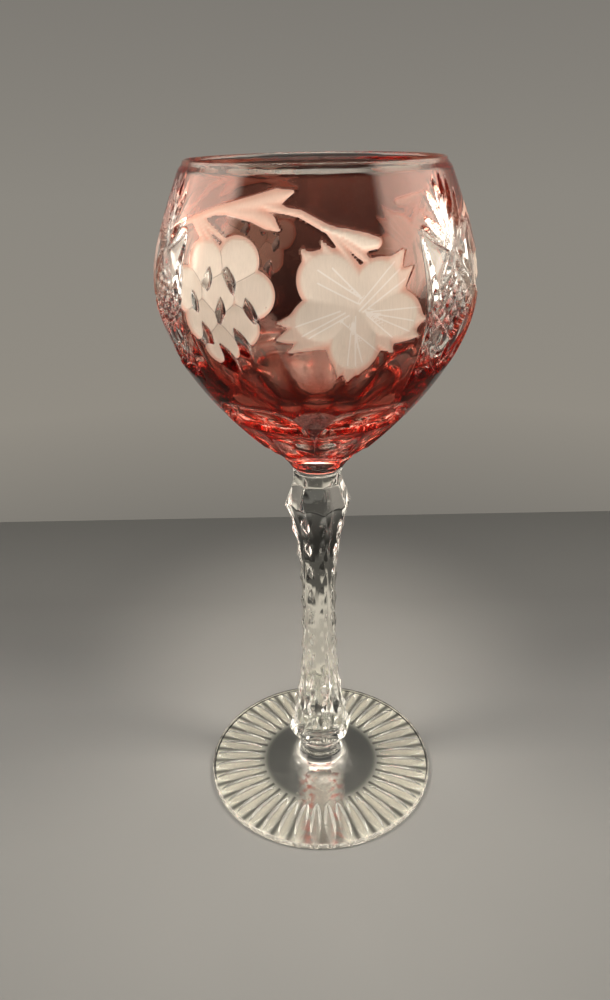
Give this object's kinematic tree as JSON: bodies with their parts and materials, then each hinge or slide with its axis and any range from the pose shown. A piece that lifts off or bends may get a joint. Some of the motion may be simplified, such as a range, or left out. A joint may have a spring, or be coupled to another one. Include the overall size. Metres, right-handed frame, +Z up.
{
  "type": "hock glass",
  "caption": "Stemmed hock wine glass: round cased bowl cut with grapes, vine leaves and star panels, on a notched clear stem with knops and a ray-cut round foot.",
  "frame": {"origin": "middle of the foot's flat underside, on the surface that the glass stands on", "axes": "+Z up along the stem to the rim; -Y is the side that faces the viewer, with the bunch of grapes to the left and the vine leaf to the right"},
  "size_m": [0.0846, 0.0851, 0.2],
  "materials": {
    "clear_glass": "polished clear crystal",
    "ruby_glass": "polished ruby overlay, cut through to clear"
  },
  "bodies": {
    "root": {"foot": "clear_glass", "stem": "clear_glass", "bowl_crystal": "clear_glass", "ruby_casing": "ruby_glass"}
  },
  "joints": []
}
